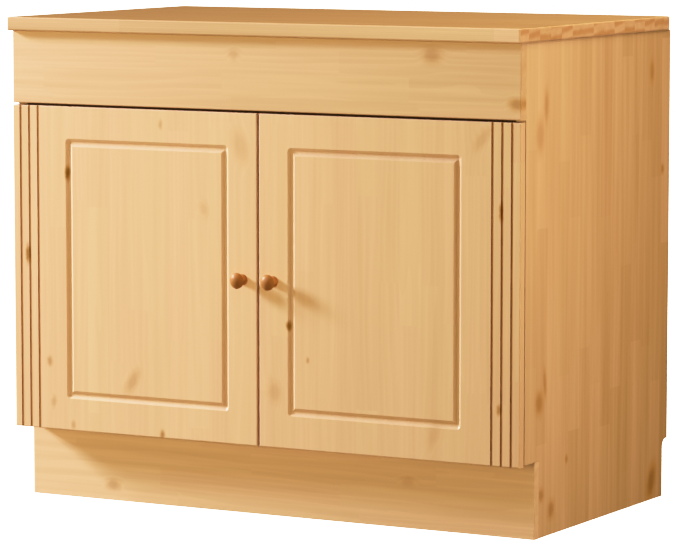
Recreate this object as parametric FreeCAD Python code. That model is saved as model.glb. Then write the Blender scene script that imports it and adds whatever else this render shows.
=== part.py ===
"""Sink base cabinet in pine: worktop, fixed fascia, two overlay doors on cup hinges, plinth and side panels.

Millimetres. X runs to the right, Y to the back and Z up. The origin is on the floor, below the middle of the
cabinet's bounding box.
"""
import FreeCAD, Part
import math
import os
from FreeCAD import Vector

# Overall sizes
total_height = 850.0
carcass_width = 993.0
carcass_back = 588.0            # from the door fronts to the back edges of the side panels
board = 18.0                    # side panels, bottom panel, rails and fascia

# Worktop
worktop_width = 1000.0
worktop_thickness = 24.0
worktop_overhang = 12.0         # past the door fronts
worktop_back_gap = 10.0         # short of the side panels' back edges
worktop_rounding = 3.0

# Fronts
door_thickness = 16.0
door_height = 568.0
door_bottom = 128.0
door_middle_gap = 4.0
door_stand_off = 2.5            # between a door's back and the carcass edges
front_rounding = 2.0
back_rounding = 1.0
fascia_bottom = 700.0
fascia_set_back = 0.5           # behind the door fronts

# Flutes and routed rectangle on the doors
flute_places = (16.0, 34.0, 52.0)   # from the hinge edge
flute_half_width = 2.2
flute_depth = 3.0
groove_half_width = 7.0
groove_depth = 3.6
groove_floor_half_width = 2.2
groove_floor_rise = 0.6         # how much the rounded floor climbs to meet the slanted walls
groove_margin = 63.0            # from the door's edges to the middle of the groove
groove_hinge_margin = 116.0     # the same beside the flutes

# Turned knobs
knob_projection = 26.0
knob_head_radius = 13.6
knob_rim = 20.0                 # widest place of the head, from the door's face
knob_under = 16.5               # where the head's underside starts
knob_under_radius = 11.8
knob_cheek = 18.2               # between the underside and the rim
knob_cheek_radius = 13.1
knob_neck = 11.0
knob_neck_radius = 6.5
knob_waist_radius = 7.1         # halfway up the neck
knob_base_radius = 9.5
knob_from_edge = 28.0           # from the meeting edge
knob_screw_radius = 2.0
knob_screw_depth = 14.0         # inside the knob
knob_screw_head_radius = 4.5
knob_screw_head = 2.5

# Toe space, plinth and skirting notch
toe_height = 130.0
plinth_recess = 56.0
plinth_thickness = 16.0
plinth_block_side = 32.0
plinth_block_height = 108.0
plinth_block_chamfer = 14.0
skirting_depth = 20.0
skirting_height = 102.0
skirting_radius = 15.0

# Rails
front_rail_bottom = 676.0
rail_height = 80.0
rear_bottom_rail_height = 90.0
wall_hole_radius = 2.75
wall_hole_spacing = 800.0

# Dowels
dowel_radius = 4.0
dowel_length = 30.0
dowel_in_side = 12.0
dowel_clearance = 0.1
dowel_end_play = 0.5
bottom_dowel_places = (60.0, 300.0, 530.0)   # behind the door fronts
rail_dowel_offset = 20.0        # above and below a rail's middle

# Worktop brackets
bracket_leg = 40.0
bracket_width = 30.0
bracket_thickness = 2.0
bracket_bend = 3.0
bracket_hole_from_bend = 26.0
bracket_places = (110.0, 500.0)  # behind the door fronts

# Wood screws
screw_radius = 2.0
screw_head_radius = 4.0
screw_head = 2.0
screw_length = 14.0
screw_clearance = 0.1
bore_extra = 1.0                # bores run on past the screws' tips
fascia_screw_length = 28.0
fascia_screw_places = (120.0, 380.0)  # to each side of the middle

# Concealed cup hinges with one pivot
hinge_from_door_end = 100.0
cup_radius = 17.5
cup_from_edge = 3.0             # wood left between the cup and the door's edge
cup_depth = 11.3
cup_wall = 0.6
cup_clearance = 0.1
flange_thickness = 1.2
flange_half_height = 28.0
flange_width = 19.0
flange_start = 2.0              # hinge side of the cup's middle
flange_corner = 5.0
flange_lip = 1.0
cup_screw_offset = 9.5          # from the cup's middle, away from the hinge edge
cup_screw_spacing = 45.0
cup_screw_length = 10.0
pivot_from_edge = 6.4
pivot_from_front = 7.7
pivot_radius = 1.25
pivot_running = 0.05
pivot_press = 0.02
eye_radius = 2.2
eye_half_height = 3.5
lug_inner = 4.2
lug_outer = 6.0
lug_width = 4.4
lug_start = 4.2                 # from the door's edge, inside the cup's wall
lug_top = 9.9                   # from the door front
arm_thickness = 1.6
arm_bend = 5.0                  # inside radius of the swan neck's two bends
arm_neck_start = 17.0           # first bend, from the door's edge
arm_neck_end = 19.0             # second bend, behind the door fronts
arm_web = 27.0                  # middle of the arm's web from the door's edge
arm_half_height = 8.0
arm_wall = 1.2
arm_start = 31.0                # of the channel, behind the door fronts
arm_end = 86.0
arm_screw_place = 70.0
arm_screw_radius = 3.5
arm_screw_head = 1.6
plate_thickness = 2.5
plate_start = 42.0
plate_half_height = 10.0
plate_corner = 3.0
wing_place = 55.5               # 37 behind the side panels' front edges
wing_half_width = 7.0
wing_half_height = 23.0
plate_screw_spacing = 32.0

# Door bumpers
bumper_radius = 4.0
bumper_thickness = 2.2
bumper_from_edge = 14.0

# Places worked out from the sizes above
side_outer = carcass_width / 2
side_inner = side_outer - board
front_y = -(carcass_back - knob_projection) / 2    # door fronts
edge_depth = door_thickness + door_stand_off       # front edges of the carcass, behind the door fronts
carcass_top = total_height - worktop_thickness
door_width = (carcass_width - door_middle_gap) / 2
door_top = door_bottom + door_height
door_middle = door_bottom + door_height / 2
cup_middle = cup_from_edge + cup_radius
plinth_back = plinth_recess + plinth_thickness
rail_back = carcass_back - board
hinge_heights = {"upper": door_top - hinge_from_door_end, "lower": door_bottom + hinge_from_door_end}

FRONT = Vector(0, -1, 0)
BACK = Vector(0, 1, 0)
UP = Vector(0, 0, 1)
RIGHT = Vector(1, 0, 0)


def depth(distance):
    """Y of a plane this far behind the door fronts."""
    return front_y + distance


def from_edge(distance):
    """X of a plane this far inside the left door's hinge edge."""
    return distance - side_outer


def block(x_range, depth_range, z_range):
    """Box between two X values, two depths behind the door fronts and two heights."""
    size = [high - low for low, high in (x_range, depth_range, z_range)]
    return Part.makeBox(*size, Vector(x_range[0], depth(depth_range[0]), z_range[0]))


def rod(radius, length, start, direction):
    return Part.makeCylinder(radius, length, start, direction)


def outline(corners):
    """Closed XY wire through (x, y, radius) corners, each rounded by an arc of its radius."""
    points = [Vector(x, y, 0) for x, y, _ in corners]
    edges = []
    last_end = None
    first_start = None
    for index, (_, _, radius) in enumerate(corners):
        here = points[index]
        to_last = (points[index - 1] - here).normalize()
        to_next = (points[(index + 1) % len(points)] - here).normalize()
        half_angle = to_last.getAngle(to_next) / 2
        start = end = here
        arc = None
        if radius > 0:
            reach = radius / math.tan(half_angle)
            start = here + to_last * reach
            end = here + to_next * reach
            bisector = (to_last + to_next).normalize()
            middle = here + bisector * (radius / math.sin(half_angle) - radius)
            arc = Part.Arc(start, middle, end).toShape()
        if last_end is None:
            first_start = start
        else:
            edges.append(line(last_end, start))
        if arc:
            edges.append(arc)
        last_end = end
    edges.append(line(last_end, first_start))
    return Part.Wire(edges)


def plan_prism(corners, z_low, z_high):
    """Prism on a plan outline whose corners are (from the hinge edge, behind the door fronts, radius)."""
    plan = [(from_edge(u), depth(v), radius) for u, v, radius in corners]
    prism = Part.Face(outline(plan)).extrude(UP * (z_high - z_low))
    prism.translate(UP * z_low)
    return prism


def line(start, end):
    return Part.LineSegment(start, end).toShape()


def turned(section, place, angle=360):
    """Solid turned from a half section about the front-to-back axis through a place, facing outwards."""
    solid = section.revolve(place, FRONT, angle)
    if solid.Volume < 0:
        solid.reverse()
    return solid


def rounded(shape, radius, keep_edge):
    """The shape with every edge that keep_edge accepts rounded."""
    edges = [edge for edge in shape.Edges if keep_edge(edge.BoundBox)]
    return shape.makeFillet(radius, edges)


def on_plane(low, high, place):
    """Whether an edge's extent along one axis lies on a plane."""
    return abs(low - place) < 1e-6 and abs(high - place) < 1e-6


def front_rounded(shape, plane, radius):
    return rounded(shape, radius, lambda box: on_plane(box.YMin, box.YMax, depth(plane)))


def mirrored(shape):
    """The same piece on the other side of the cabinet."""
    return shape.mirror(Vector(0, 0, 0), RIGHT)


def both_sides(shape):
    return [shape, mirrored(shape)]


def screw(seat, direction, length, head_radius=screw_head_radius, head=screw_head):
    """Pan head screw whose head rests on seat and whose shank runs along direction."""
    shank = rod(screw_radius, length, seat, direction)
    cap = rod(head_radius, head, seat, direction * -1)
    return shank.fuse(cap).removeSplitter()


def screw_bore(seat, direction, length):
    return rod(screw_radius + screw_clearance, length + bore_extra, seat, direction)


def dowel_places():
    """(depth, height) of each dowel on a side panel's inner face, by the board that it holds."""
    rail_middles = {
        "front_rail": (edge_depth + board / 2, front_rail_bottom + rail_height / 2),
        "rear_top_rail": (rail_back + board / 2, carcass_top - rail_height / 2),
        "rear_bottom_rail": (rail_back + board / 2, toe_height + rear_bottom_rail_height / 2),
    }
    places = {"bottom_panel": [(v, toe_height + board / 2) for v in bottom_dowel_places]}
    for name, (v, z) in rail_middles.items():
        places[name] = [(v, z - rail_dowel_offset), (v, z + rail_dowel_offset)]
    return places


def dowel(place, play=0.0, end_play=0.0):
    """Left dowel at a place, or the bore around it where the plays are given."""
    v, z = place
    start = Vector(-side_inner - dowel_in_side - end_play, depth(v), z)
    return rod(dowel_radius + play, dowel_length + 2 * end_play, start, RIGHT)


def left_dowel_bores(names):
    places = dowel_places()
    return [dowel(place, dowel_clearance, dowel_end_play) for name in names for place in places[name]]


def dowel_bores(name):
    return [bore for left in left_dowel_bores([name]) for bore in both_sides(left)]


def bracket_seats():
    """(bend corner, side screw height, worktop screw X) of the left brackets, front to back."""
    hole_x = -side_inner + bracket_hole_from_bend
    hole_z = carcass_top - bracket_hole_from_bend
    return [(v, hole_z, hole_x) for v in bracket_places]


def bracket_screw_seats():
    """Seats and directions of the left brackets' screws."""
    seats = []
    for v, hole_z, hole_x in bracket_seats():
        seats.append((Vector(-side_inner + bracket_thickness, depth(v), hole_z), RIGHT * -1))
        seats.append((Vector(hole_x, depth(v), carcass_top - bracket_thickness), UP))
    return seats


def plate_screw_seats(z):
    """Seats of one left hinge plate's two screws."""
    x = from_edge(board + plate_thickness)
    return [Vector(x, depth(wing_place), z + sign * plate_screw_spacing / 2) for sign in (-1, 1)]


def cup_screw_seats(z):
    """Seats of one left hinge cup's two screws."""
    x = from_edge(cup_middle + cup_screw_offset)
    y = depth(door_thickness + flange_thickness)
    return [Vector(x, y, z + sign * cup_screw_spacing / 2) for sign in (-1, 1)]


def fascia_screw_seats():
    z = (fascia_bottom + front_rail_bottom + rail_height) / 2
    places = [sign * x for x in fascia_screw_places for sign in (-1, 1)]
    return [Vector(x, depth(edge_depth + board), z) for x in places]


def worktop():
    half = worktop_width / 2
    top = block((-half, half), (-worktop_overhang, carcass_back - worktop_back_gap),
                (carcass_top, total_height))
    top = top.makeFillet(worktop_rounding, top.Edges)
    seats = [(seat, way) for seat, way in bracket_screw_seats() if way == UP]
    bores = [screw_bore(seat, way, screw_length) for seat, way in seats]
    return top.cut([bore for left in bores for bore in both_sides(left)])


def side_panel():
    """Left side panel, with the toe notch, the skirting notch and the bores on its inner face."""
    corners = [
        (edge_depth, carcass_top, 0),
        (edge_depth, toe_height, 0),
        (plinth_back, toe_height, 0),
        (plinth_back, 0, 0),
        (carcass_back - skirting_depth, 0, 0),
        (carcass_back - skirting_depth, skirting_height, skirting_radius),
        (carcass_back, skirting_height, 0),
        (carcass_back, carcass_top, 0),
    ]
    face = Part.Face(outline([(depth(v), z, radius) for v, z, radius in corners]))
    face.Placement = FreeCAD.Placement(Vector(-side_outer, 0, 0), FreeCAD.Rotation(Vector(1, 1, 1), 120))
    panel = face.extrude(RIGHT * board)
    panel = rounded(panel, back_rounding, lambda box: on_plane(box.XMin, box.XMax, -side_outer))
    bores = left_dowel_bores(dowel_places())
    sideways = [(seat, way) for seat, way in bracket_screw_seats() if way != UP]
    bores += [screw_bore(seat, way, screw_length) for seat, way in sideways]
    for z in hinge_heights.values():
        bores += [screw_bore(seat, RIGHT * -1, screw_length) for seat in plate_screw_seats(z)]
    return panel.cut(bores)


def bottom_panel():
    panel = block((-side_inner, side_inner), (edge_depth, rail_back), (toe_height, toe_height + board))
    return panel.cut(dowel_bores("bottom_panel"))


def fascia_panel():
    panel = block((-side_outer, side_outer), (fascia_set_back, edge_depth), (fascia_bottom, carcass_top))
    panel = front_rounded(panel, fascia_set_back, front_rounding)
    return panel.cut([screw_bore(seat, FRONT, fascia_screw_length) for seat in fascia_screw_seats()])


def front_rail():
    rail = block((-side_inner, side_inner), (edge_depth, edge_depth + board),
                 (front_rail_bottom, front_rail_bottom + rail_height))
    bores = [screw_bore(seat, FRONT, fascia_screw_length) for seat in fascia_screw_seats()]
    return rail.cut(bores + dowel_bores("front_rail"))


def rear_top_rail():
    """Upper rail at the open back, with two holes for fixing the cabinet to a wall."""
    bottom = carcass_top - rail_height
    rail = block((-side_inner, side_inner), (rail_back, carcass_back), (bottom, carcass_top))
    places = [sign * wall_hole_spacing / 2 for sign in (-1, 1)]
    z = bottom + rail_height / 2
    holes = [rod(wall_hole_radius, board, Vector(x, depth(rail_back), z), BACK) for x in places]
    return rail.cut(holes + dowel_bores("rear_top_rail"))


def rear_bottom_rail():
    rail = block((-side_inner, side_inner), (rail_back, carcass_back),
                 (toe_height, toe_height + rear_bottom_rail_height))
    return rail.cut(dowel_bores("rear_bottom_rail"))


def plinth_board():
    plinth = block((-side_outer, side_outer), (plinth_recess, plinth_back), (0, toe_height))
    return front_rounded(plinth, plinth_recess, back_rounding)


def plinth_block():
    """Left glue block in the corner of the plinth and the side panel, with its free corner cut off."""
    far = plinth_block_side
    cut = far - plinth_block_chamfer
    corners = [(0, 0), (far, 0), (far, cut), (cut, far), (0, far)]
    plan = [(board + u, plinth_back + v, 0) for u, v in corners]
    return plan_prism(plan, toe_height - plinth_block_height, toe_height)


def dowels():
    pegs = [dowel(place) for places in dowel_places().values() for place in places]
    return Part.makeCompound([peg for left in pegs for peg in both_sides(left)])


def worktop_bracket(v):
    """Left steel angle between a side panel and the worktop."""
    inner_bend = bracket_bend - bracket_thickness
    corners = [
        (0, 0, bracket_bend),
        (bracket_leg, 0, 0),
        (bracket_leg, -bracket_thickness, 0),
        (bracket_thickness, -bracket_thickness, inner_bend),
        (bracket_thickness, -bracket_leg, 0),
        (0, -bracket_leg, 0),
    ]
    face = Part.Face(outline(corners))
    face.Placement = FreeCAD.Placement(
        Vector(-side_inner, depth(v) + bracket_width / 2, carcass_top), FreeCAD.Rotation(RIGHT, 90))
    angle = face.extrude(FRONT * bracket_width)
    holes = [screw_bore(seat, way * -1, bracket_thickness) for seat, way in bracket_screw_seats()]
    holes += [screw_bore(seat, way, bracket_thickness) for seat, way in bracket_screw_seats()]
    return angle.cut(holes)


def bracket_screws():
    screws = [screw(seat, way, screw_length) for seat, way in bracket_screw_seats()]
    return Part.makeCompound([one for left in screws for one in both_sides(left)])


def fascia_screws():
    return Part.makeCompound([screw(seat, FRONT, fascia_screw_length) for seat in fascia_screw_seats()])


def flute(u):
    """Full-height cutter of one narrow flute with straight walls and a round floor."""
    wall_foot = depth(flute_depth - flute_half_width)
    left = Vector(from_edge(u - flute_half_width), wall_foot, 0)
    right = Vector(from_edge(u + flute_half_width), wall_foot, 0)
    deepest = Vector(from_edge(u), depth(flute_depth), 0)
    lip = FRONT * (front_rounding + flute_depth)
    edges = [
        Part.Arc(left, deepest, right).toShape(),
        line(right, right + lip),
        line(right + lip, left + lip),
        line(left + lip, left),
    ]
    cutter = Part.Face(Part.Wire(edges)).extrude(UP * door_height)
    cutter.translate(UP * door_bottom)
    return cutter


def groove_half(place):
    """Right half of the router bit's section, as edges: lip, slanted wall, half the rounded floor."""
    rise = groove_floor_rise
    floor_radius = (groove_floor_half_width ** 2 + rise ** 2) / (2 * rise)
    half_angle = math.asin(groove_floor_half_width / floor_radius) / 2
    middle_depth = groove_depth - floor_radius * (1 - math.cos(half_angle))
    spots = [
        (groove_half_width, -front_rounding),
        (groove_half_width, 0),
        (groove_floor_half_width, groove_depth - rise),
        (floor_radius * math.sin(half_angle), middle_depth),
        (0, groove_depth),
    ]
    lip, face, floor, middle, deepest = [place + RIGHT * x + BACK * y for x, y in spots]
    return [line(lip, face), line(face, floor), Part.Arc(floor, middle, deepest).toShape()]


def groove_cutter():
    """Routed rectangle of the left door: the bit run along the four sides and turned at the four corners."""
    left = from_edge(groove_hinge_margin)
    right = from_edge(door_width - groove_margin)
    low = door_bottom + groove_margin
    high = door_top - groove_margin
    corners = [Vector(x, depth(0), z) for x, z in ((left, low), (right, low), (right, high), (left, high))]
    cutters = []
    for index, corner in enumerate(corners):
        half = groove_half(corner)
        other_half = [edge.mirror(corner, RIGHT) for edge in half]
        top = corner + FRONT * front_rounding
        lip = top + RIGHT * groove_half_width
        far_lip = top - RIGHT * groove_half_width
        whole_section = Part.Face(Part.Wire(half + other_half[::-1] + [line(far_lip, lip)]))
        half_section = Part.Face(Part.Wire(half + [line(corner + BACK * groove_depth, top), line(top, lip)]))
        whole_section.rotate(corner, FRONT, 90 * index + 90)
        half_section.rotate(corner, FRONT, 90 * index + 180)
        cutters.append(whole_section.extrude(corners[(index + 1) % 4] - corner))
        cutters.append(turned(half_section, corner, 90))
    return cutters[0].fuse(cutters[1:]).removeSplitter()


def door():
    """Left door: flutes and routed rectangle in front, cup pockets and screw bores at the back."""
    panel = block((from_edge(0), from_edge(door_width)), (0, door_thickness), (door_bottom, door_top))
    panel = front_rounded(panel, 0, front_rounding)
    panel = front_rounded(panel, door_thickness, back_rounding)
    cutters = [flute(u) for u in flute_places] + [groove_cutter()]
    for z in hinge_heights.values():
        pocket = Vector(from_edge(cup_middle), depth(door_thickness), z)
        cutters.append(rod(cup_radius + cup_clearance, cup_depth + cup_clearance, pocket, FRONT))
        cutters += [screw_bore(seat, FRONT, cup_screw_length) for seat in cup_screw_seats(z)]
    cutters.append(rod(knob_screw_radius + screw_clearance, door_thickness, knob_place(), BACK))
    return panel.cut(cutters)


def knob_place():
    """Middle of the left knob's foot on the door's face."""
    return Vector(from_edge(door_width - knob_from_edge), depth(0), door_middle)


def knob():
    """Turned mushroom knob: flared foot, narrow neck and domed head, bored for its screw."""
    foot = knob_place()
    rise = knob_projection - knob_rim
    dome_radius = (knob_head_radius ** 2 + rise ** 2) / (2 * rise)
    half_dome = math.asin(knob_head_radius / dome_radius) / 2
    dome_middle = knob_projection - dome_radius * (1 - math.cos(half_dome))
    spots = [
        (0, 0),
        (knob_base_radius, 0),
        (knob_waist_radius, knob_neck / 2),
        (knob_neck_radius, knob_neck),
        (knob_under_radius, knob_under),
        (knob_cheek_radius, knob_cheek),
        (knob_head_radius, knob_rim),
        (dome_radius * math.sin(half_dome), dome_middle),
        (0, knob_projection),
    ]
    middle, base, waist, neck, under, cheek, rim, dome, tip = [
        foot + RIGHT * radius + FRONT * out for radius, out in spots]
    edges = [
        line(middle, base),
        Part.Arc(base, waist, neck).toShape(),
        line(neck, under),
        Part.Arc(under, cheek, rim).toShape(),
        Part.Arc(rim, dome, tip).toShape(),
        line(tip, middle),
    ]
    body = turned(Part.Face(Part.Wire(edges)), foot)
    return body.cut(rod(knob_screw_radius + screw_clearance, knob_screw_depth + bore_extra, foot, FRONT))


def knob_screw():
    seat = knob_place() + BACK * door_thickness
    return screw(seat, FRONT, door_thickness + knob_screw_depth, knob_screw_head_radius, knob_screw_head)


def hinge_cup(z):
    """Left hinge cup: pressed bowl with a flange on the door's back and two lugs that hold the pivot pin."""
    mouth = Vector(from_edge(cup_middle), depth(door_thickness), z)
    bowl = rod(cup_radius, cup_depth, mouth, FRONT)
    lip = rod(cup_radius + flange_lip, flange_thickness, mouth, BACK)
    low = cup_middle - flange_start
    high = low + flange_width
    half = flange_half_height
    plan = [(low, -half), (high, -half), (high, half), (low, half)]
    flange = Part.Face(outline([(from_edge(u), w, flange_corner) for u, w in plan]))
    flange.rotate(Vector(0, 0, 0), RIGHT, 90)
    flange.translate(Vector(0, depth(door_thickness), z))
    flange = flange.extrude(BACK * flange_thickness)
    hollow = rod(cup_radius - cup_wall, cup_depth - cup_wall + flange_thickness,
                 mouth + BACK * flange_thickness, FRONT)
    cup = bowl.fuse([lip, flange]).cut(hollow)
    floor = door_thickness - cup_depth + cup_wall / 2
    lugs = [block((from_edge(lug_start), from_edge(lug_start + lug_width)), (floor, lug_top), heights)
            for heights in ((z - lug_outer, z - lug_inner), (z + lug_inner, z + lug_outer))]
    cup = cup.fuse(lugs).removeSplitter()
    holes = [screw_bore(seat + BACK, FRONT, flange_thickness + 1) for seat in cup_screw_seats(z)]
    holes.append(pivot(z, pivot_radius + pivot_press, lug_outer))
    return cup.cut(holes)


def pivot(z, radius, half_height):
    """Cylinder on the hinge's turning axis."""
    start = Vector(from_edge(pivot_from_edge), depth(pivot_from_front), z - half_height)
    return rod(radius, 2 * half_height, start, UP)


def hinge_pin(z):
    return pivot(z, pivot_radius, lug_outer)


def hinge_arm(z):
    """Left hinge arm: eye on the pivot, swan neck out of the cup and a channel that sits on the plate."""
    strip_low = pivot_from_front - eye_radius
    strip_high = strip_low + arm_thickness
    web_in = arm_web - arm_thickness / 2
    web_out = arm_web + arm_thickness / 2
    turn = math.atan2(arm_neck_end - strip_low, web_out - arm_neck_start)
    first_shift = arm_thickness * math.tan(turn / 2)
    second_shift = arm_thickness * math.tan((math.pi / 2 - turn) / 2)
    neck = [
        (pivot_from_edge, strip_low, 0),
        (arm_neck_start, strip_low, arm_bend + arm_thickness),
        (web_out, arm_neck_end, arm_bend),
        (web_out, arm_end, 0),
        (web_in, arm_end, 0),
        (web_in, arm_neck_end + second_shift, arm_bend + arm_thickness),
        (arm_neck_start - first_shift, strip_high, arm_bend),
        (pivot_from_edge, strip_high, 0),
    ]
    arm = plan_prism(neck, z - eye_half_height, z + eye_half_height)
    web = block((from_edge(web_in), from_edge(web_out)), (arm_start, arm_end),
                (z - arm_half_height, z + arm_half_height))
    walls = [block((from_edge(board + plate_thickness), from_edge(web_in)), (arm_start, arm_end), heights)
             for heights in ((z - arm_half_height, z - arm_half_height + arm_wall),
                             (z + arm_half_height - arm_wall, z + arm_half_height))]
    arm = arm.fuse([pivot(z, eye_radius, eye_half_height), web] + walls).removeSplitter()
    hole = rod(screw_radius + screw_clearance, arm_thickness, arm_screw_seat(z), RIGHT * -1)
    return arm.cut([pivot(z, pivot_radius + pivot_running, eye_half_height), hole])


def arm_screw_seat(z):
    return Vector(from_edge(arm_web + arm_thickness / 2), depth(arm_screw_place), z)


def arm_screw(z):
    """Screw that clamps the left hinge arm to its plate."""
    length = arm_web + arm_thickness / 2 - board - plate_thickness / 2
    return screw(arm_screw_seat(z), RIGHT * -1, length, arm_screw_radius, arm_screw_head)


def hinge_plate(z):
    """Left mounting plate: a cross whose wings are screwed to the side panel."""
    long_way = (plate_start, arm_end)
    across = (wing_place - wing_half_width, wing_place + wing_half_width)
    faces = []
    for (low, high), half in ((long_way, plate_half_height), (across, wing_half_height)):
        corners = [(depth(low), -half), (depth(high), -half), (depth(high), half), (depth(low), half)]
        faces.append(Part.Face(outline([(y, w, plate_corner) for y, w in corners])))
    bodies = []
    for face in faces:
        face.Placement = FreeCAD.Placement(
            Vector(from_edge(board), 0, z), FreeCAD.Rotation(Vector(1, 1, 1), 120))
        bodies.append(face.extrude(RIGHT * plate_thickness))
    plate = bodies[0].fuse(bodies[1]).removeSplitter()
    holes = [screw_bore(seat, RIGHT * -1, screw_length) for seat in plate_screw_seats(z)]
    thread = arm_screw_seat(z)
    holes.append(rod(screw_radius + screw_clearance, arm_web, thread, RIGHT * -1))
    return plate.cut(holes)


def plate_screws():
    seats = [seat for z in hinge_heights.values() for seat in plate_screw_seats(z)]
    screws = [screw(seat, RIGHT * -1, screw_length) for seat in seats]
    return Part.makeCompound([one for left in screws for one in both_sides(left)])


def arm_screws():
    screws = [arm_screw(z) for z in hinge_heights.values()]
    return Part.makeCompound([one for left in screws for one in both_sides(left)])


def cup_screws():
    seats = [seat for z in hinge_heights.values() for seat in cup_screw_seats(z)]
    return Part.makeCompound([screw(seat, FRONT, cup_screw_length) for seat in seats])


def door_bumpers():
    """Pads at the left door's meeting corners, which land on the front rail and the bottom panel."""
    x = from_edge(door_width - bumper_from_edge)
    heights = ((front_rail_bottom + door_top) / 2, toe_height + board / 2)
    pads = [rod(bumper_radius, bumper_thickness, Vector(x, depth(door_thickness), z), BACK) for z in heights]
    return Part.makeCompound(pads)


def build():
    """Every node's shape by name."""
    nodes = {
        "worktop": worktop(),
        "bottom_panel": bottom_panel(),
        "fascia_panel": fascia_panel(),
        "front_rail": front_rail(),
        "rear_top_rail": rear_top_rail(),
        "rear_bottom_rail": rear_bottom_rail(),
        "plinth_board": plinth_board(),
        "dowels": dowels(),
        "bracket_screws": bracket_screws(),
        "fascia_screws": fascia_screws(),
        "plate_screws": plate_screws(),
        "arm_screws": arm_screws(),
    }
    lefts = {
        "side_panel": side_panel(),
        "plinth_block": plinth_block(),
        "worktop_bracket_front": worktop_bracket(bracket_places[0]),
        "worktop_bracket_rear": worktop_bracket(bracket_places[1]),
        "door": door(),
        "knob": knob(),
        "knob_screw": knob_screw(),
        "cup_screws": cup_screws(),
        "door_bumpers": door_bumpers(),
    }
    for level, z in hinge_heights.items():
        lefts["hinge_cup_" + level] = hinge_cup(z)
        lefts["hinge_pin_" + level] = hinge_pin(z)
        lefts["hinge_arm_" + level] = hinge_arm(z)
        lefts["hinge_plate_" + level] = hinge_plate(z)
    for name, shape in lefts.items():
        nodes[name + "_left"] = shape
        nodes[name + "_right"] = mirrored(shape)
    return nodes


os.makedirs("parts", exist_ok=True)
for node, shape in build().items():
    shape.exportStep(os.path.join("parts", node + ".step"))
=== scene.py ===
"""Pine sink base cabinet: wood, hinge hardware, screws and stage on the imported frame.

Laid out as an add-on. Blender works in metres; X runs to the right along the fronts, Y to the wall and Z up.
Patterns in the wood are written in millimetres, because its coordinates are scaled to them first.
"""

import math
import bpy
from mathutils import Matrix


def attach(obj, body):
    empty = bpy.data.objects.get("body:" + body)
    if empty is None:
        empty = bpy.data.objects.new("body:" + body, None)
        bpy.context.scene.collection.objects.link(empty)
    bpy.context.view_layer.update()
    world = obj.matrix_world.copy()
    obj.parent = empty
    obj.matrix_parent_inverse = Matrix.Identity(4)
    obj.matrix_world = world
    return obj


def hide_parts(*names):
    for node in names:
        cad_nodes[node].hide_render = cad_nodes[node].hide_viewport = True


bl_info = {
    "name": "Pine Sink Base Cabinet",
    "version": (1, 0, 0),
    "blender": (4, 5, 0),
    "location": "View3D > Sidebar > Cabinet",
    "description": "Gives a pine sink base cabinet its wood, hardware, screws and stage",
    "category": "Object",
}

from collections import namedtuple

import bmesh
import bpy
from bpy.props import FloatProperty, FloatVectorProperty, PointerProperty
from mathutils import Matrix, Vector

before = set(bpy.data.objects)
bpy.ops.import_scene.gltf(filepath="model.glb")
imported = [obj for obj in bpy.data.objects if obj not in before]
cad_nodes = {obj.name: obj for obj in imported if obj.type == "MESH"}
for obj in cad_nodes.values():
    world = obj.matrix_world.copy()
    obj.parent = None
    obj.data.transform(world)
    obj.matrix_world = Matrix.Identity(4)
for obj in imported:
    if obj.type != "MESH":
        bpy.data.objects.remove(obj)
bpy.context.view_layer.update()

MM = 0.001
AXES = {"X": Vector((1, 0, 0)), "Y": Vector((0, 1, 0)), "Z": Vector((0, 0, 1))}
WHITE = (1.0, 1.0, 1.0, 1.0)

# A knot in millimetres: its place across and along the grain, its half sizes, its lean in degrees and its
# darkness.
Knot = namedtuple("Knot", "across along half_width half_length lean darkness")

LEFT_DOOR_KNOTS = (
    Knot(-191, 674, 4, 8, 0, 0.22),
    Knot(-382, 583, 4, 11, 0, 0.75),
    Knot(-465, 438, 4, 14, 0, 0.7),
    Knot(-421, 251, 5, 8, 0, 0.3),
    Knot(-413, 180, 5, 9, 10, 0.18),
    Knot(-373, 141, 4, 7, 0, 0.22),
    Knot(-250, 226, 9, 21, 30, 0.2),
    Knot(-190, 137, 4, 7, 0, 0.5),
    Knot(-32, 642, 14, 26, -15, 0.12),
    Knot(-104, 532, 8, 12, -25, 0.1),
)
RIGHT_DOOR_KNOTS = (
    Knot(34, 227, 12, 17, -10, 0.15),
    Knot(428, 671, 9, 22, 35, 0.16),
    Knot(62, 341, 4, 7, 0, 0.8),
    Knot(463, 552, 3, 13, 0, 0.8),
    Knot(460, 225, 4, 8, 0, 0.5),
    Knot(99, 285, 3, 5, 0, 0.3),
    Knot(340, 175, 10, 20, 25, 0.1),
)
FASCIA_KNOTS = (
    Knot(797, -44, 8, 9, 0, 0.15),
    Knot(804, 335, 12, 16, 0, 0.3),
    Knot(728, 491, 9, 13, 0, 0.45),
)
PLINTH_KNOTS = (
    Knot(30, -326, 9, 13, 0, 0.22),
    Knot(84, 262, 7, 12, 0, 0.12),
)
RIGHT_SIDE_KNOTS = (
    Knot(-185, 722, 8, 26, 0, 0.26),
    Knot(-208, 674, 14, 28, 0, 0.22),
    Knot(232, 759, 9, 20, 0, 0.3),
    Knot(-207, 230, 14, 19, 0, 0.38),
    Knot(-186, 262, 6, 24, -6, 0.3),
    Knot(-199, 75, 11, 11, 0, 0.35),
    Knot(-160, 46, 12, 15, 14, 0.38),
    Knot(-102, 123, 5, 8, 0, 0.35),
    Knot(242, 36, 16, 30, 20, 0.62),
    Knot(279, 586, 6, 9, 0, 0.4),
)
LEFT_SIDE_KNOTS = (
    Knot(-120, 640, 12, 22, 8, 0.35),
    Knot(60, 330, 15, 20, -12, 0.4),
    Knot(205, 540, 9, 22, 0, 0.3),
    Knot(-190, 180, 10, 17, 0, 0.35),
)
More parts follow.
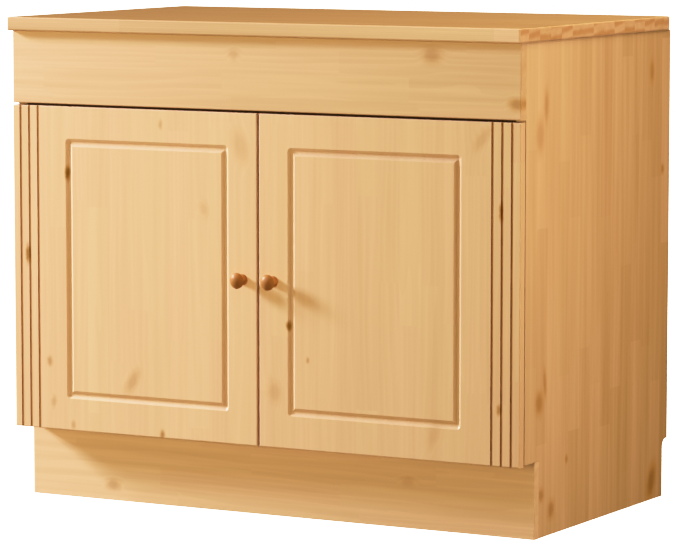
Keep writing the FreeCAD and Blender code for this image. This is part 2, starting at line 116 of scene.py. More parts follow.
WORKTOP_KNOTS = (
    Knot(-180, -310, 9, 14, 0, 0.3),
    Knot(70, 150, 11, 16, 10, 0.35),
    Knot(190, -120, 8, 13, 0, 0.3),
    Knot(-90, 380, 9, 15, -8, 0.3),
)

# A board's wood: the nodes cut from it, the axis across its staves and the axis of its grain. Its tone goes
# from early wood at 0 over late wood at 1 to heartwood at 2. Rings, streaks, staves and ends say how strong
# its growth lines, its streaks, the steps between its staves and its sawn ends are, and the seed makes it its
# own. The shade gradient is painted shade: how much darker the board grows in a metre across and along the
# grain, where less light falls. The top shade is painted shade too: how much darker it is where it faces up.
Board = namedtuple(
    "Board", "name nodes across grain tone rings streaks staves ends seed drift upper_tone knots",
    defaults=((0.0, 0.0), 0.0, ()))

# Darker tones of the right door and right side: partly their own wood, partly painted shade where less light
# falls.
BOARDS = (
    Board("Left door", ("door_left",), "X", "Z", tone=0.15, rings=0.045, streaks=0.25, staves=0.07, ends=0.2,
          seed=3.0, knots=LEFT_DOOR_KNOTS),
    Board("Right door", ("door_right",), "X", "Z", tone=0.21, rings=0.045, streaks=0.25, staves=0.07, ends=0.2,
          seed=11.0, drift=(0.4, 0.0), knots=RIGHT_DOOR_KNOTS),
    Board("Fascia", ("fascia_panel",), "Z", "X", tone=0.31, rings=0.07, streaks=0.35, staves=0.06, ends=0.0,
          seed=23.0, drift=(0.0, 0.36), knots=FASCIA_KNOTS),
    Board("Plinth", ("plinth_board",), "Z", "X", tone=0.17, rings=0.08, streaks=0.45, staves=0.06, ends=0.0,
          seed=31.0, drift=(0.0, 0.3), knots=PLINTH_KNOTS),
    Board("Right side", ("side_panel_right",), "Y", "Z", tone=0.7, rings=0.02, streaks=0.45, staves=0.15,
          ends=0.3, seed=47.0, drift=(0.6, -0.15), knots=RIGHT_SIDE_KNOTS),
    Board("Left side", ("side_panel_left",), "Y", "Z", tone=0.5, rings=0.02, streaks=0.6, staves=0.13,
          ends=0.3, seed=53.0, knots=LEFT_SIDE_KNOTS),
    Board("Worktop", ("worktop",), "Y", "X", tone=0.45, rings=0.08, streaks=0.5, staves=0.12, ends=0.6,
          seed=61.0, drift=(0.1, -0.15), upper_tone=0.7, knots=WORKTOP_KNOTS),
    Board("Bottom", ("bottom_panel",), "Y", "X", tone=0.3, rings=0.1, streaks=0.5, staves=0.12, ends=0.6,
          seed=71.0),
    # The front rail's dark tone is painted shade, so that the gap above the doors looks dark.
    Board("Front rail", ("front_rail",), "Z", "X", tone=1.2, rings=0.15, streaks=0.6, staves=0.1, ends=0.6,
          seed=79.0),
    Board("Rear rails", ("rear_top_rail", "rear_bottom_rail"), "Z", "X", tone=0.6, rings=0.15, streaks=0.6,
          staves=0.1, ends=0.6, seed=83.0),
    Board("Glue blocks", ("plinth_block_left", "plinth_block_right"), "X", "Z", tone=0.3, rings=0.15,
          streaks=0.6, staves=0.1, ends=0.6, seed=97.0),
)
KNOBS = Board("Knobs", ("knob_left", "knob_right"), "X", "Y", tone=1.55, rings=0.1, streaks=0.3, staves=0.0,
              ends=0.0, seed=101.0)

# The wood's patterns, in millimetres where a comment doesn't say otherwise. Three sizes go across, through and
# along the grain.
STAVE_START = 0.37              # where the origin lies in a stave, as a share of its width
TRUNK_BEND = (60.0, 60.0, 600.0)
BEND_SHIFT = 14.0               # how far the trunk's bends move the rings
HEART_NEAREST = 0.9             # how many staves away a piece's heart is at least
HEART_SPREAD = 2.2              # how many more it can be
HEART_DEPTH = 60.0              # how deep it can be
LATE_FULL = 0.7                 # share of a ring from which its dark line is full
FIBRE_LENGTH = 160.0
STREAK = (13.0, 13.0, 420.0)
KNOT_DENT = 8.0                 # size of the dents in a knot's outline
KNOT_WANDER = (4.0, 0.0, 6.0)   # how far they move it
KNOT_THROUGH = 10000.0          # a knot runs right through its board
KNOT_PUSH = 3.0                 # how far a knot moves the rings beside it
KNOT_PUSH_REACH = (0.6, 2.4)    # where the push is full and where it ends, in the knot's own size
KNOT_RIM = (0.7, 1.8, 1.1)      # the same for the stain of a knot's rim, and the stain's strength
KNOT_HEART = (0.3, 1.15, 0.9)   # and for the stain of its heart
END_ARC = 11.0                  # between the ring arcs on sawn ends
GROOVE_SHADE_REACH = 6.0             # how far from a corner the painted shade in grooves reaches

NICKEL_NODES = tuple(
    "hinge_%s_%s_%s" % (piece, level, side)
    for piece in ("cup", "pin", "arm", "plate") for level in ("upper", "lower") for side in ("left", "right"))
ZINC_NODES = tuple(
    "worktop_bracket_%s_%s" % (end, side) for end in ("front", "rear") for side in ("left", "right"))
BUMPER_NODES = ("door_bumpers_left", "door_bumpers_right")

# Screws: the CAD node, the body that it rides on and its material slot.
SCREW_NODES = (
    ("plate_screws", "carcass", "nickel_plated_steel"),
    ("arm_screws", "carcass", "nickel_plated_steel"),
    ("bracket_screws", "carcass", "zinc_plated_steel"),
    ("fascia_screws", "carcass", "zinc_plated_steel"),
    ("cup_screws_left", "door_left", "nickel_plated_steel"),
    ("cup_screws_right", "door_right", "nickel_plated_steel"),
    ("knob_screw_left", "door_left", "nickel_plated_steel"),
    ("knob_screw_right", "door_right", "nickel_plated_steel"),
)

# A screw's head, as shares of its radius or of its height.
SLOT_HALF_WIDTH = 0.13
SLOT_HALF_LENGTH = 0.55
RIM_DROP = 0.35
RECESS_TAPER = 0.7
HEAD_FROM = 0.9                 # points of a CAD screw beyond this share belong to its head
SHANK_TO = 0.75                 # and points within this share to its shank
HEAD_SQUARES = 5                # squares along each side of the grid that the head is shaped from

# Lamps: the name, the place and width in metres, and the settings that hold the power and the colour. The key
# lamp stands where its light travels past the fronts to the camera's target.
Lamp = namedtuple("Lamp", "name place size power colour")
CABINET_MIDDLE = Vector((0, 0, 0.42))
CAMERA_TARGET = Vector((0.0201, -0.031, 0.4036))
KEY_TRAVEL = Vector((0.88, 0.275, -0.385)).normalized()
KEY_DISTANCE = 6.0
LAMPS = (
    Lamp("key_lamp", CAMERA_TARGET - KEY_TRAVEL * KEY_DISTANCE, 1.1, "key_power", "key_colour"),
    Lamp("overhead_lamp", (1.3, -0.1, 2.6), 1.0, "overhead_power", "fill_colour"),
    Lamp("right_lamp", (1.6, -0.3, 0.48), 0.4, "right_power", "fill_colour"),
    Lamp("left_lamp", (-1.6, 0.0, 0.48), 0.4, "left_power", "fill_colour"),
    Lamp("back_lamp", (0.0, 3.2, 0.9), 1.2, "back_power", "fill_colour"),
    Lamp("front_lamp", (-1.2, -4.0, 0.55), 1.2, "front_power", "front_colour"),
)

# The key grazes the fronts and would bleach the left end, so that end has a lamp of its own instead. The front
# lamp would shine into the gap above the doors and flatten the knobs, so it passes by them.
LIGHT_LINKS = (
    ("key_lamp", "receiver_collection", ("side_panel_left",), "EXCLUDE"),
    ("left_lamp", "receiver_collection", ("side_panel_left",), "INCLUDE"),
    ("front_lamp", "receiver_collection", ("front_rail", *KNOBS.nodes), "EXCLUDE"),
    ("front_lamp", "blocker_collection", KNOBS.nodes, "EXCLUDE"),
)

# Contrast of a printed photograph: light in against light out. Shadows grow deeper and richer, and highlights
# roll off slowly to white.
WHITE_LIGHT = 2.5
CONTRAST = ((0.05, 0.03), (0.15, 0.115), (0.3, 0.275), (0.5, 0.53), (0.7, 0.735), (0.85, 0.85), (1.0, 0.91),
            (1.5, 0.97))

# The stage in metres.
FLOOR_RADIUS = 60.0
FLOOR_CLOUD = 1.25              # size of the faint clouds on the floor
HORIZON = 0.15                  # half height of the soft band between ground and sky, for a distance of one
SENSOR_WIDTH = 36.0             # millimetres, as the lens is
VIEW_END = 200.0                # how far the camera sees, well past the floor's edge

# What every colour setting has in common.
RGBA = {"subtype": "COLOR", "size": 4, "min": 0.0, "max": 1.0}
RGB = {"subtype": "COLOR", "size": 3, "min": 0.0, "max": 1.0}


def linear(hex_colour):
    """Linear RGBA of an sRGB hex colour."""
    channels = [int(hex_colour[place:place + 2], 16) / 255 for place in (0, 2, 4)]
    return tuple(c / 12.92 if c <= 0.04045 else ((c + 0.055) / 1.055) ** 2.4 for c in channels) + (1.0,)


def dimmed(colour, share):
    """A colour with its light cut to a share."""
    return tuple(channel * share for channel in colour[:3]) + (1.0,)


def pitch(sizes):
    """Scale that makes a pattern of unit size as large as the sizes."""
    return tuple(1 / size for size in sizes)


def add(tree, kind, inputs=None, **settings):
    """Adds a node with its settings. Inputs maps a socket to a value, an output or a node's first output."""
    node = tree.nodes.new(kind)
    for name, value in settings.items():
        setattr(node, name, value)
    for socket, value in (inputs or {}).items():
        if isinstance(value, bpy.types.Node):
            value = next(output for output in value.outputs if output.enabled)
        if isinstance(value, bpy.types.NodeSocket):
            tree.links.new(value, node.inputs[socket])
        else:
            node.inputs[socket].default_value = value
    return node


def new_material(name):
    """A material with an empty node tree, its tree and its shader."""
    material = bpy.data.materials.new(name)
    material.use_nodes = True
    tree = material.node_tree
    tree.nodes.clear()
    shader = add(tree, "ShaderNodeBsdfPrincipled")
    add(tree, "ShaderNodeOutputMaterial", {"Surface": shader})
    return material, tree, shader


def dress(node_names, material):
    """Puts one material on CAD nodes."""
    for name in node_names:
        mesh = cad_nodes[name].data
        mesh.materials.clear()
        mesh.materials.append(material)


class WoodSettings(bpy.types.PropertyGroup):
    """The wood."""

    early_colour: FloatVectorProperty(
        name="Early wood", description="Pale wood between the growth lines", default=linear("E9D1BF"), **RGBA)
    pink_colour: FloatVectorProperty(
        name="Pinkish wood", description="Pale wood of the pinker pieces", default=linear("EBCFC0"), **RGBA)
    late_colour: FloatVectorProperty(
        name="Late wood", description="Darker wood of the growth lines", default=linear("AE9269"), **RGBA)
    heart_colour: FloatVectorProperty(
        name="Heartwood", description="Red brown heart of the darker boards", default=linear("946428"), **RGBA)
    turned_colour: FloatVectorProperty(
        name="Turned wood", description="Orange heart of the turned knobs", default=linear("D99238"), **RGBA)
    knot_colour: FloatVectorProperty(
        name="Knots", description="Heart of the knots", default=linear("86601C"), **RGBA)
    knot_rim_colour: FloatVectorProperty(
        name="Knot rims", description="Amber wood round the knots", default=linear("B68E4C"), **RGBA)
    end_colour: FloatVectorProperty(
        name="Sawn ends", description="Ring arcs on the sawn ends", default=linear("A8793C"), **RGBA)
    # Painted shade in grooves and flutes: the dark golden brown that hollows are mixed towards.
    groove_shade_colour: FloatVectorProperty(
        name="Painted groove shade", description="Painted shade in grooves and flutes",
        default=linear("A0701E"), **RGBA)
    beech_colour: FloatVectorProperty(
        name="Beech", description="Pinkish tan of the dowels", default=linear("D2A57C"), **RGBA)
    fleck_colour: FloatVectorProperty(
        name="Beech flecks", description="Short dark flecks in the dowels", default=linear("A87549"), **RGBA)
    stave_width: FloatProperty(
        name="Stave width", description="Width of the glued staves", unit="LENGTH", min=0.01, default=0.041)
    stave_length: FloatProperty(
        name="Stave length", description="Length of the pieces that make a stave", unit="LENGTH",
        min=0.05, default=0.36)
    ring_width: FloatProperty(
        name="Ring width", description="Distance between growth rings", unit="LENGTH",
        min=0.0005, default=0.0032)
    fibre_width: FloatProperty(
        name="Fibre width", description="Width of the fine streaks along the grain", unit="LENGTH",
        min=0.0002, default=0.0022)


class HardwareSettings(bpy.types.PropertyGroup):
    """Hinges, brackets, screws and bumpers."""

    nickel_colour: FloatVectorProperty(
        name="Nickel", description="Plating of the hinges and their screws", default=linear("CBC6BA"), **RGBA)
    zinc_colour: FloatVectorProperty(
        name="Zinc", description="Plating of the brackets and their screws", default=linear("B4B9BE"), **RGBA)
    bumper_colour: FloatVectorProperty(
        name="Bumpers", description="Soft pads behind the doors", default=linear("DDD8CC"), **RGBA)
    recess_depth: FloatProperty(
        name="Recess depth", description="Depth of the cross in a screw's head", unit="LENGTH",
        min=0.0001, default=0.0011)


class StageSettings(bpy.types.PropertyGroup):
    """Floor, light and camera."""

    floor_colour: FloatVectorProperty(
        name="Floor", description="Pale studio floor", default=linear("F7F6F3"), **RGBA)
    floor_glow: FloatProperty(
        name="Floor glow", description="How much the white floor and wall shine by themselves",
        min=0.0, default=WHITE_LIGHT)
    key_power: FloatProperty(
        name="Key lamp", description="Small lamp far to the left", unit="POWER", min=0.0, default=468.0)
    overhead_power: FloatProperty(
        name="Overhead lamp", description="Wide lamp above the right end", unit="POWER", min=0.0, default=40.5)
    right_power: FloatProperty(
        name="Right lamp", description="Lamp beside the right end", unit="POWER", min=0.0, default=6.0)
    left_power: FloatProperty(
        name="Left lamp", description="Lamp for the left end alone", unit="POWER", min=0.0, default=10.0)
    back_power: FloatProperty(
        name="Back lamp", description="Wide lamp behind the open back", unit="POWER", min=0.0, default=40.0)
    front_power: FloatProperty(
        name="Front lamp", description="Wide lamp in front", unit="POWER", min=0.0, default=63.0)
    key_colour: FloatVectorProperty(
        name="Key colour", description="Cool white of the key lamp", default=linear("F5F4FF")[:3], **RGB)
    fill_colour: FloatVectorProperty(
        name="Fill colour", description="Warm colour of the lamps round the cabinet",
        default=linear("FFE3B7")[:3], **RGB)
    front_colour: FloatVectorProperty(
        name="Front colour", description="Golden colour of the front lamp",
        default=linear("FFE5A0")[:3], **RGB)
    sky_colour: FloatVectorProperty(
        name="Sky", description="Even light from above", default=linear("9C8869"), **RGBA)
    ground_colour: FloatVectorProperty(
        name="Ground", description="Even light from below", default=linear("9E8866"), **RGBA)
    azimuth: FloatProperty(
        name="Azimuth", description="Camera's turn to the right of the fronts", subtype="ANGLE",
        default=math.radians(29.12))
    elevation: FloatProperty(
        name="Elevation", description="How far the camera looks down", subtype="ANGLE",
        default=math.radians(6.12))
    distance: FloatProperty(
        name="Distance", description="From the camera to its target", unit="LENGTH", min=0.1, default=6.687)
    target: FloatVectorProperty(
        name="Target", description="Where the camera looks", subtype="TRANSLATION", unit="LENGTH", size=3,
        default=tuple(CAMERA_TARGET))
    lens: FloatProperty(name="Lens", description="Focal length in millimetres", min=1.0, default=202.2)


def glued_staves(tree, place, board, settings):
    """Staves side by side, each of pieces end to end.

    Gives how far a place lies across its stave, and its piece's own tone, tint and depth in the trunk.
    """
    across, _, along = add(tree, "ShaderNodeSeparateXYZ", {0: place}).outputs
    stave_place = add(tree, "ShaderNodeMath", {
        0: across, 1: MM / settings.stave_width, 2: board.seed + STAVE_START}, operation="MULTIPLY_ADD")
    stave = add(tree, "ShaderNodeMath", {0: stave_place}, operation="FLOOR")
    fraction = add(tree, "ShaderNodeMath", {0: stave_place}, operation="FRACT")
    stagger = add(tree, "ShaderNodeTexWhiteNoise", {"W": stave}, noise_dimensions="1D").outputs["Value"]
    piece_place = add(tree, "ShaderNodeMath", {
        0: along, 1: MM / settings.stave_length, 2: stagger}, operation="MULTIPLY_ADD")
    piece = add(tree, "ShaderNodeMath", {0: piece_place}, operation="FLOOR")
    chance = add(tree, "ShaderNodeTexWhiteNoise", {
        "Vector": add(tree, "ShaderNodeCombineXYZ", {0: stave, 1: piece})}, noise_dimensions="2D")
    tone, tint, sink = add(tree, "ShaderNodeSeparateColor", {0: chance.outputs["Color"]}).outputs
    return fraction, tone, tint, sink


def knot_distance(tree, place, knots):
    """How far a place is from the nearest knot, in the knot's own size, and how dark that knot is."""
    dents = add(tree, "ShaderNodeTexNoise", {"Vector": place, "Scale": 1 / KNOT_DENT})
    rough_place = add(tree, "ShaderNodeVectorMath", {
        0: dents.outputs["Color"], 1: KNOT_WANDER, 2: place}, operation="MULTIPLY_ADD")
    nearest = None
    darkness = None
    for knot in knots:
        own = add(tree, "ShaderNodeMapping", {
            "Vector": rough_place,
            "Location": (knot.across, 0, knot.along),
            "Rotation": (0, math.radians(knot.lean), 0),
            "Scale": (knot.half_width, KNOT_THROUGH, knot.half_length),
        }, vector_type="TEXTURE")
        distance = add(tree, "ShaderNodeVectorMath", {0: own}, operation="LENGTH").outputs["Value"]
        if nearest is None:
            nearest = distance
            darkness = knot.darkness
        else:
            closer = add(tree, "ShaderNodeMath", {0: distance, 1: nearest}, operation="LESS_THAN")
            darkness = add(tree, "ShaderNodeMix", {
                0: closer, 2: darkness, 3: knot.darkness}, data_type="FLOAT")
            nearest = add(tree, "ShaderNodeMath", {0: distance, 1: nearest}, operation="MINIMUM")
    return nearest, darkness


def ring_bends(tree, place, board, knot_near):
    """How far the slow bends of the trunk and the push of a knot move the growth rings, in millimetres."""
    bend = add(tree, "ShaderNodeTexNoise", {
        "Vector": add(tree, "ShaderNodeMapping", {
            "Vector": place, "Location": (board.seed, 0, 0), "Scale": pitch(TRUNK_BEND)}),
        "Scale": 1.0, "Detail": 2.0})
    shift = add(tree, "ShaderNodeMath", {0: bend, 1: BEND_SHIFT}, operation="MULTIPLY")
    if knot_near is None:
        return shift
    full, end = KNOT_PUSH_REACH
    push = add(tree, "ShaderNodeMapRange", {
        "Value": knot_near, "From Min": full, "From Max": end, "To Min": KNOT_PUSH, "To Max": 0.0},
        interpolation_type="SMOOTHSTEP")
    return add(tree, "ShaderNodeMath", {0: shift, 1: push}, operation="ADD")


def heart_distance(tree, place, fraction, tint, sink, settings):
    """How far a place is from the heart of its piece, which lies well to one side, in millimetres."""
    heart = add(tree, "ShaderNodeMath", {0: tint, 1: HEART_SPREAD, 2: HEART_NEAREST}, operation="MULTIPLY_ADD")
    off_centre = add(tree, "ShaderNodeMath", {0: fraction, 1: heart}, operation="SUBTRACT")
    sideways = add(tree, "ShaderNodeMath", {0: off_centre, 1: settings.stave_width / MM}, operation="MULTIPLY")
    below = add(tree, "ShaderNodeMath", {
        0: add(tree, "ShaderNodeSeparateXYZ", {0: place}).outputs["Y"],
        1: add(tree, "ShaderNodeMath", {0: sink, 1: HEART_DEPTH}, operation="MULTIPLY")}, operation="ADD")
    return add(tree, "ShaderNodeVectorMath", {
        0: add(tree, "ShaderNodeCombineXYZ", {0: sideways, 1: below})}, operation="LENGTH").outputs["Value"]


def pine(board, settings, heart_colour):
    """Solid pine glued from short staves under clear satin lacquer.

    Eyes see pale honey staves that differ a little in tone, faint growth lines and streaks that run along them
    and bend round the knots, ring arcs on the sawn ends and a quiet sheen.
    """
    material, tree, shader = new_material("Lacquered pine, " + board.name.lower())
    across = AXES[board.across]
    grain = AXES[board.grain]
    turn = Matrix((across, grain.cross(across), grain)).to_euler()
    coordinates = add(tree, "ShaderNodeTexCoord")
    place = add(tree, "ShaderNodeMapping", {
        "Vector": coordinates.outputs["Object"], "Rotation": tuple(turn), "Scale": (1 / MM,) * 3})
    fraction, tone, tint, sink = glued_staves(tree, place, board, settings)
    knot_near, darkness = knot_distance(tree, place, board.knots) if board.knots else (None, None)

    # Growth rings, with a dark line that swells slowly and ends sharply.
    ring_radius = add(tree, "ShaderNodeMath", {
        0: heart_distance(tree, place, fraction, tint, sink, settings),
        1: ring_bends(tree, place, board, knot_near)}, operation="ADD")
    ring_fraction = add(tree, "ShaderNodeMath", {
        0: add(tree, "ShaderNodeMath", {0: ring_radius, 1: MM / settings.ring_width}, operation="MULTIPLY")},
        operation="FRACT")
    ring_line = add(tree, "ShaderNodeMapRange", {
        "Value": ring_fraction, "From Min": 0.0, "From Max": LATE_FULL, "To Min": 0.0, "To Max": 1.0},
        interpolation_type="SMOOTHERSTEP")

    # Streaks of fibre. Real fibre is far too fine to show, so these are as wide as the render needs.
    fibre_width = settings.fibre_width / MM
    fibre = add(tree, "ShaderNodeTexNoise", {
        "Vector": add(tree, "ShaderNodeMapping", {
            "Vector": place, "Scale": pitch((fibre_width, fibre_width, FIBRE_LENGTH))}),
        "Scale": 1.0, "Detail": 3.0})
    streak = add(tree, "ShaderNodeTexNoise", {
        "Vector": add(tree, "ShaderNodeMapping", {
            "Vector": place, "Location": (board.seed * 7, 0, 0), "Scale": pitch(STREAK)}),
        "Scale": 1.0, "Detail": 2.0})

    # Everything that darkens the wood, round the board's tone: rings, fibre, streaks, the pieces' tones and
    # painted shade.
    facing_up = add(tree, "ShaderNodeVectorMath", {0: coordinates.outputs["Normal"], 1: tuple(AXES["Z"])},
                    operation="DOT_PRODUCT").outputs["Value"]
    # Painted shade: faces that look up are darkened by the top shade.
    upper = add(tree, "ShaderNodeMapRange", {
        "Value": facing_up, "From Min": 0.7, "From Max": 0.98, "To Min": 0.0, "To Max": 1.0})
    # Painted shade: the board darkens steadily across and along its grain, where less light falls.
    drift = add(tree, "ShaderNodeVectorMath", {0: place, 1: (board.drift[0] * MM, 0, board.drift[1] * MM)},
                operation="DOT_PRODUCT").outputs["Value"]
    darker = add(tree, "ShaderNodeMath", {0: drift, 1: board.tone}, operation="ADD")
    for share, strength, middle in (
            (ring_line, board.rings, 0.4), (fibre, 0.8 * board.rings, 0.5), (streak, board.streaks, 0.5),
            (tone, board.staves, 0.5), (upper, board.upper_tone, 0.0)):
        darker = add(tree, "ShaderNodeMath", {
            0: add(tree, "ShaderNodeMath", {0: share, 1: middle}, operation="SUBTRACT"),
            1: strength, 2: darker}, operation="MULTIPLY_ADD")
    redder = add(tree, "ShaderNodeMath", {0: darker, 1: 1.0}, operation="SUBTRACT")

    # Layers of colour, each over the last: how much of it shows where, and its colour.
    layers = [(darker, settings.late_colour), (redder, heart_colour)]
    if board.knots:
        for (full, end, strength), stain_colour in (
                (KNOT_RIM, settings.knot_rim_colour), (KNOT_HEART, settings.knot_colour)):
            spot = add(tree, "ShaderNodeMapRange", {
                "Value": knot_near, "From Min": full, "From Max": end, "To Min": strength, "To Max": 0.0},
                interpolation_type="SMOOTHSTEP")
            stained = add(tree, "ShaderNodeMath", {0: spot, 1: darkness}, operation="MULTIPLY")
            layers.append((stained, stain_colour))

    # Sawn ends soak up the lacquer and look darker, and their rings stand out.
    facing_end = add(tree, "ShaderNodeVectorMath", {0: coordinates.outputs["Normal"], 1: tuple(grain)},
                     operation="DOT_PRODUCT").outputs["Value"]
    end_face = add(tree, "ShaderNodeMapRange", {
        "Value": add(tree, "ShaderNodeMath", {0: facing_end}, operation="ABSOLUTE"),
        "From Min": 0.75, "From Max": 0.98, "To Min": 0.0, "To Max": 1.0})
    arcs = add(tree, "ShaderNodeMath", {0: ring_radius, 1: 1 / END_ARC}, operation="MULTIPLY")
    end_rings = add(tree, "ShaderNodeMapRange", {
        "Value": add(tree, "ShaderNodeMath", {0: arcs, 1: 1.0}, operation="PINGPONG"),
        "From Min": 0.35, "From Max": 0.8, "To Min": 0.35 * board.ends, "To Max": board.ends})
    soaked = add(tree, "ShaderNodeMath", {0: end_face, 1: end_rings}, operation="MULTIPLY")
    layers.append((soaked, settings.end_colour))

    # Painted shade: where ambient occlusion finds a hollow close by, the wood turns a dark golden brown.
    open_air = add(tree, "ShaderNodeAmbientOcclusion", {"Distance": GROOVE_SHADE_REACH * MM},
                   samples=6, only_local=True)
    painted_groove_shade = add(tree, "ShaderNodeMapRange", {
        "Value": open_air.outputs["AO"], "From Min": 0.72, "From Max": 0.98, "To Min": 0.52, "To Max": 0.0})
    layers.append((painted_groove_shade, settings.groove_shade_colour))

    colour = add(tree, "ShaderNodeMix", {
        0: tint, 6: tuple(settings.early_colour), 7: tuple(settings.pink_colour)}, data_type="RGBA")
    for share, layer_colour in layers:
        colour = add(tree, "ShaderNodeMix", {
            0: share, 6: colour.outputs[2], 7: tuple(layer_colour)}, data_type="RGBA")

    relief = add(tree, "ShaderNodeMath", {0: fibre, 1: ring_line}, operation="ADD")
    bump = add(tree, "ShaderNodeBump", {"Strength": 0.1, "Distance": 0.1 * MM, "Height": relief})
    sheen = add(tree, "ShaderNodeMapRange", {
        "Value": fibre, "From Min": 0.3, "From Max": 0.7, "To Min": 0.45, "To Max": 0.58})
    tree.links.new(colour.outputs[2], shader.inputs["Base Color"])
    tree.links.new(sheen.outputs[0], shader.inputs["Roughness"])
    tree.links.new(bump.outputs[0], shader.inputs["Normal"])
    shader.inputs["Specular IOR Level"].default_value = 0.3
    shader.inputs["Coat Weight"].default_value = 0.15
    shader.inputs["Coat Roughness"].default_value = 0.32
    return material


def plated_steel(name, colour, grit, roughness):
    """Pressed sheet steel with a thin bright plating.

    Eyes see a soft metal shine, broken by faint rolling lines and by cloudy patches where the plating differs.
    """
    cloud_size = 9 * MM
    line_length = 40 * grit
    material, tree, shader = new_material(name)
    coordinates = add(tree, "ShaderNodeTexCoord").outputs["Object"]
    cloud = add(tree, "ShaderNodeTexNoise", {"Vector": coordinates, "Scale": 1 / cloud_size, "Detail": 3.0})
    lines = add(tree, "ShaderNodeTexNoise", {
        "Vector": add(tree, "ShaderNodeMapping", {
            "Vector": coordinates, "Scale": pitch((grit, grit, line_length))}),
        "Scale": 1.0, "Detail": 2.0})
    share = add(tree, "ShaderNodeMapRange", {
        "Value": cloud, "From Min": 0.35, "From Max": 0.7, "To Min": 0.0, "To Max": 0.6})
    mixed = add(tree, "ShaderNodeMix", {0: share, 6: tuple(colour), 7: dimmed(colour, 0.72)}, data_type="RGBA")
    dull = add(tree, "ShaderNodeMapRange", {
        "Value": lines, "From Min": 0.3, "From Max": 0.7,
        "To Min": roughness * 0.8, "To Max": roughness * 1.35})
    bump = add(tree, "ShaderNodeBump", {"Strength": 0.15, "Distance": 0.03 * MM, "Height": lines})
    tree.links.new(mixed.outputs[2], shader.inputs["Base Color"])
    tree.links.new(dull.outputs[0], shader.inputs["Roughness"])
    tree.links.new(bump.outputs[0], shader.inputs["Normal"])
    shader.inputs["Metallic"].default_value = 1.0
    return material


def soft_pad(name, colour):
    """Cast soft plastic. Eyes see a milky matt pad with faint unevenness and no hard shine."""
    grain_size = 0.8 * MM
    material, tree, shader = new_material(name)
    coordinates = add(tree, "ShaderNodeTexCoord").outputs["Object"]
    grain = add(tree, "ShaderNodeTexNoise", {"Vector": coordinates, "Scale": 1 / grain_size, "Detail": 2.0})
    mixed = add(tree, "ShaderNodeMix", {0: grain, 6: tuple(colour), 7: dimmed(colour, 0.85)}, data_type="RGBA")
    bump = add(tree, "ShaderNodeBump", {"Strength": 0.2, "Distance": 0.05 * MM, "Height": grain})
    tree.links.new(mixed.outputs[2], shader.inputs["Base Color"])
    tree.links.new(bump.outputs[0], shader.inputs["Normal"])
    shader.inputs["Roughness"].default_value = 0.6
    return material


def turned_beech(name, settings):
    """Ribbed beech pegs. Eyes see a pinkish tan with short dark flecks along the grain."""
    fleck = (4 * MM, 0.5 * MM, 0.5 * MM)
    material, tree, shader = new_material(name)
    flecks = add(tree, "ShaderNodeTexNoise", {
        "Vector": add(tree, "ShaderNodeMapping", {
            "Vector": add(tree, "ShaderNodeTexCoord").outputs["Object"], "Scale": pitch(fleck)}),
        "Scale": 1.0, "Detail": 2.0})
    share = add(tree, "ShaderNodeMapRange", {
        "Value": flecks, "From Min": 0.5, "From Max": 0.7, "To Min": 0.0, "To Max": 0.8})
    mixed = add(tree, "ShaderNodeMix", {
        0: share, 6: tuple(settings.beech_colour), 7: tuple(settings.fleck_colour)}, data_type="RGBA")
    bump = add(tree, "ShaderNodeBump", {"Strength": 0.3, "Distance": 0.1 * MM, "Height": flecks})
    tree.links.new(mixed.outputs[2], shader.inputs["Base Color"])
    tree.links.new(bump.outputs[0], shader.inputs["Normal"])
    shader.inputs["Roughness"].default_value = 0.65
    return material


def islands(mesh):
    """Corner points of each loose part of a mesh, where the corners of its triangles meet."""
    shape = bmesh.new()
    shape.from_mesh(mesh)
    bmesh.ops.remove_doubles(shape, verts=shape.verts, dist=0.001 * MM)
    left = set(shape.verts)
    groups = []
    while left:
        reached = [left.pop()]
        for vertex in reached:
            for edge in vertex.link_edges:
                other = edge.other_vert(vertex)
                if other in left:
                    left.discard(other)
                    reached.append(other)
        groups.append([vertex.co.copy() for vertex in reached])
    shape.free()
    return groups


def screw_measure(points):
    """Where a CAD screw's head rests, where its shank points, its length, its head's height and its radii."""
    low = Vector([min(point[axis] for point in points) for axis in range(3)])
    high = Vector([max(point[axis] for point in points) for axis in range(3)])
    size = high - low
    middle = (low + high) / 2
    long_axis = max(range(3), key=lambda axis: size[axis])
    along = AXES["XYZ"[long_axis]]
    head_radius = max(size[axis] for axis in range(3) if axis != long_axis) / 2
    reaches = [math.dist(point, middle + along * (point[long_axis] - middle[long_axis])) for point in points]
    heads = [point[long_axis] for point, reach in zip(points, reaches) if reach > HEAD_FROM * head_radius]
    shank_radius = max(reach for reach in reaches if reach < SHANK_TO * head_radius)
    head_top = max(heads, key=lambda value: abs(value - middle[long_axis]))
    seat = min(heads, key=lambda value: abs(value - middle[long_axis]))
    direction = along * math.copysign(1, seat - head_top)
    seat_place = middle.copy()
    seat_place[long_axis] = seat
    head = abs(head_top - seat)
    return seat_place, direction, size[long_axis] - head, head, head_radius, shank_radius


def cross_face(face, slot, arm):
    """Whether a face of the screw head's grid belongs to the cross."""
    middle = face.calc_center_median()
    lengthways = abs(middle.x) < arm and abs(middle.y) < slot
    crossways = abs(middle.y) < arm and abs(middle.x) < slot
    return lengthways or crossways


def new_corners(extruded):
    """Vertices that an extrusion made."""
    return [item for item in extruded["geom"] if isinstance(item, bmesh.types.BMVert)]


def open_edges(extruded):
    """Edges at the free end of an extrusion."""
    return [item for item in extruded["geom"] if isinstance(item, bmesh.types.BMEdge) and item.is_boundary]


